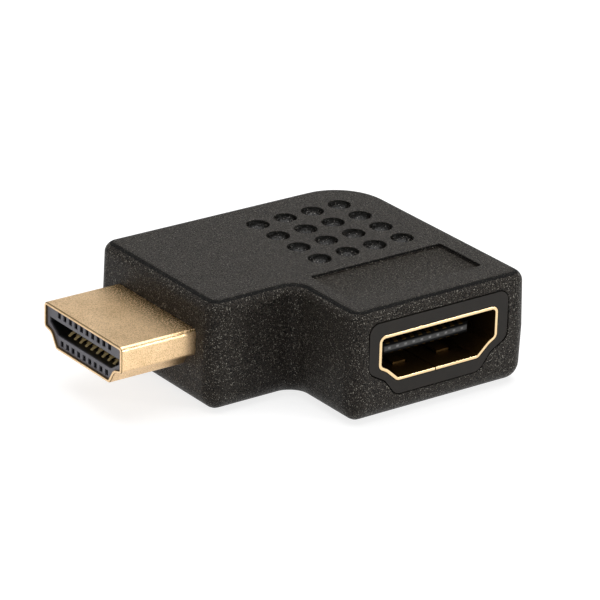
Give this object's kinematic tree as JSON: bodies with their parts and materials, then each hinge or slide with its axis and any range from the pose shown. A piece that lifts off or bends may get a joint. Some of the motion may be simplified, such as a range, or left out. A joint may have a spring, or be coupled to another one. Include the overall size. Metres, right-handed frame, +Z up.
{
  "type": "right angle audio video adapter",
  "caption": "Flat right angle adapter that turns a metal digital audio and video plug through ninety degrees into a matching socket, in one moulded housing.",
  "frame": {"origin": "on the flat base, below the crossing of the plug's axis and the socket's axis", "axes": "-X is the way the plug points, -Y is the way the socket's mouth faces, +Z is up from the base to the face with the dimples"},
  "size_m": [0.0405, 0.0301, 0.0118],
  "materials": {
    "housing": "moulded plastic with a fine spark-eroded grain",
    "inner_mould": "smooth moulded plastic",
    "circuit_board": "lacquered glass fibre board",
    "plug_shell": "satin gold plating on folded sheet",
    "socket_shell": "bright gold plating on folded sheet",
    "insulator": "smooth dark moulded plastic",
    "contact": "gold plated strip"
  },
  "bodies": {
    "root": {"housing": "housing", "inner_mould": "inner_mould", "circuit_board": "circuit_board", "plug_shell": "plug_shell", "plug_insulator": "insulator", "socket_shell": "socket_shell", "socket_insulator": "insulator", "plug_contact_01": "contact", "plug_contact_02": "contact", "plug_contact_03": "contact", "plug_contact_04": "contact", "plug_contact_05": "contact", "plug_contact_06": "contact", "plug_contact_07": "contact", "plug_contact_08": "contact", "plug_contact_09": "contact", "plug_contact_10": "contact", "plug_contact_11": "contact", "plug_contact_12": "contact", "plug_contact_13": "contact", "plug_contact_14": "contact", "plug_contact_15": "contact", "plug_contact_16": "contact", "plug_contact_17": "contact", "plug_contact_18": "contact", "plug_contact_19": "contact", "socket_contact_01": "contact", "socket_contact_02": "contact", "socket_contact_03": "contact", "socket_contact_04": "contact", "socket_contact_05": "contact", "socket_contact_06": "contact", "socket_contact_07": "contact", "socket_contact_08": "contact", "socket_contact_09": "contact", "socket_contact_10": "contact", "socket_contact_11": "contact", "socket_contact_12": "contact", "socket_contact_13": "contact", "socket_contact_14": "contact", "socket_contact_15": "contact", "socket_contact_16": "contact", "socket_contact_17": "contact", "socket_contact_18": "contact", "socket_contact_19": "contact"}
  },
  "joints": []
}
